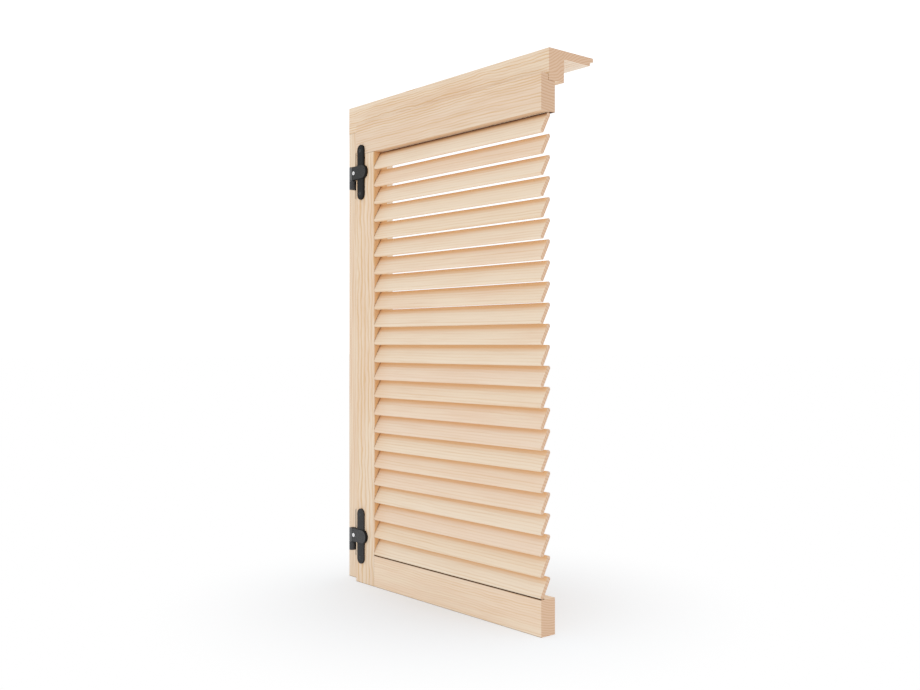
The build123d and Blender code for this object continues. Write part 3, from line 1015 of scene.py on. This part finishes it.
class SHUTTER_OT_hinge_straps(Operator):
    """Straps over the bars with their knuckles"""

    bl_idname = "shutter.hinge_straps"
    bl_label = "Hinge straps"

    def execute(self, context):
        settings = context.scene.shutter_hinges
        for side in SIDES:
            node = side + "_hinge_strap"
            low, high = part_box(node)
            half = (high.z - low.z) / 2
            reach = high.x - half - AXIS_X
            outline = np.concatenate((
                arc((reach, 0.0), half, -pi / 2, pi / 2, STRAP_END_STEPS),
                np.array([[0.0, half], [0.0, -half]]),
            ))
            strap_rows = rounding(settings.strap_proud, settings.strap_edge, flank=STRAP_FLANK_WEAR)
            strap = ring_solid(outline, strap_rows)
            knuckle_rows = rounding(2 * half, settings.barrel_edge, both=True)
            knuckle = ring_solid(circle(KNUCKLE_RADIUS), knuckle_rows)
            solids = [
                on_wall(strap, AXIS_X, LEAF_FRONT, low.z + half, STRAP_WEAR_AND_LIGHT[side]),
                upright(knuckle, AXIS_X, AXIS_Y, low.z, KNUCKLE_WEAR_AND_HIGHLIGHT),
            ]
            add_piece(side + "_strap", solids, shared_coat(context), "leaf", node)
        return {"FINISHED"}


class SHUTTER_OT_hinge_bases(Operator):
    """Plates on the jamb with their necks and barrels, and the pins in them"""

    bl_idname = "shutter.hinge_bases"
    bl_label = "Hinge bases"

    def execute(self, context):
        settings = context.scene.shutter_hinges
        cut = settings.plate_cut
        half = settings.neck_width / 2
        foot = half + settings.neck_flare
        depth = FRAME_FRONT - settings.plate - AXIS_Y
        neck = np.array([[-half, 0.0], [half, 0.0], [foot, depth], [-foot, depth]])
        plate_rows = rounding(settings.plate, settings.plate_edge)
        barrel_rows = rounding(settings.barrel_height, settings.barrel_edge, both=True)
        for side in SIDES:
            node = side + "_hinge_base"
            low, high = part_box(node)
            wide = (high.x - low.x) / 2 + settings.plate_rim
            tall = (high.z - low.z) / 2
            plate = np.array([
                [wide - cut, -tall], [wide, cut - tall], [wide, tall - cut], [wide - cut, tall],
                [cut - wide, tall], [-wide, tall - cut], [-wide, cut - tall], [cut - wide, -tall],
            ])
            barrel_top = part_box(side + "_hinge_strap")[0].z - settings.barrel_play
            barrel_low = barrel_top - settings.barrel_height
            barrel = ring_solid(circle(KNUCKLE_RADIUS), barrel_rows)
            solids = [
                on_wall(ring_solid(plate, plate_rows), AXIS_X, FRAME_FRONT, middle(node).z),
                upright(ring_solid(neck, barrel_rows), AXIS_X, AXIS_Y, barrel_low),
                upright(barrel, AXIS_X, AXIS_Y, barrel_low, BARREL_WEAR_AND_HIGHLIGHT),
            ]
            add_piece(side + "_base", solids, shared_coat(context), "frame", node)
        pins = [side + "_hinge_pin" for side in SIDES]
        dress(pins, bright_metal("ground_steel", settings.steel, STEEL_ROUGHNESS, STEEL_MARKS))
        return {"FINISHED"}


class SHUTTER_OT_screws(Operator):
    """Raised heads of the wood screws, and the bright set screws"""

    bl_idname = "shutter.screws"
    bl_label = "Screws"

    def execute(self, context):
        settings = context.scene.shutter_hinges
        head = head_solid(settings.head_radius, settings.head_dome)
        groups = (("bar_screws", "_hinge_bar", "leaf"), ("base_screws", "_hinge_base", "frame"))
        for node, plate, body in groups:
            low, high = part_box(node)
            x = middle(node).x
            plates = [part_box(side + plate) for side in SIDES]
            inset = plates[0][1].z - high.z + settings.head_radius
            heights = [z for base, top in plates for z in (base.z + inset, top.z - inset)]
            solids = [on_wall(head, x, low.y, z) for z in heights]
            add_piece(node + "_heads", solids, shared_coat(context), body, node)
        zinc = bright_metal("set_screw_zinc", settings.zinc, ZINC_ROUGHNESS, ZINC_MARKS)
        dress(["adjusting_screws"], zinc)
        return {"FINISHED"}


class SHUTTER_OT_stage(Operator):
    """Pale floor, soft light and the camera"""

    bl_idname = "shutter.stage"
    bl_label = "Stage"

    def execute(self, context):
        scene = context.scene
        settings = scene.shutter_stage
        lay_floor(scene, settings)
        light_dome(scene, settings)
        place_camera(scene, settings)
        tone_curve(scene.view_settings, settings.white)
        return {"FINISHED"}


class SHUTTER_PT_finishes(Panel):
    """Sidebar panel with every step in order"""

    bl_idname = "SHUTTER_PT_finishes"
    bl_label = "Shutter finishes"
    bl_space_type = "VIEW_3D"
    bl_region_type = "UI"
    bl_category = "Shutter"

    def draw(self, context):
        for operator in OPERATORS:
            self.layout.operator(operator.bl_idname)


SETTINGS = {
    "shutter_pine": PineSettings,
    "shutter_hinges": HingeSettings,
    "shutter_stage": StageSettings,
}
OPERATORS = (
    SHUTTER_OT_frame_boards,
    SHUTTER_OT_leaf_boards,
    SHUTTER_OT_slats,
    SHUTTER_OT_hinge_bars,
    SHUTTER_OT_hinge_straps,
    SHUTTER_OT_hinge_bases,
    SHUTTER_OT_screws,
    SHUTTER_OT_stage,
)
CLASSES = (*SETTINGS.values(), *OPERATORS, SHUTTER_PT_finishes)


def register():
    """Registers the classes and gives the scene its settings."""
    for item in CLASSES:
        bpy.utils.register_class(item)
    for name, group in SETTINGS.items():
        setattr(bpy.types.Scene, name, PointerProperty(type=group))


def unregister():
    """Takes the settings off the scene and the classes out."""
    for name in SETTINGS:
        delattr(bpy.types.Scene, name)
    for item in reversed(CLASSES):
        bpy.utils.unregister_class(item)


def main():
    register()
    for operator in OPERATORS:
        getattr(bpy.ops.shutter, operator.bl_idname.split(".")[1])()


if __name__ == "__main__":
    main()
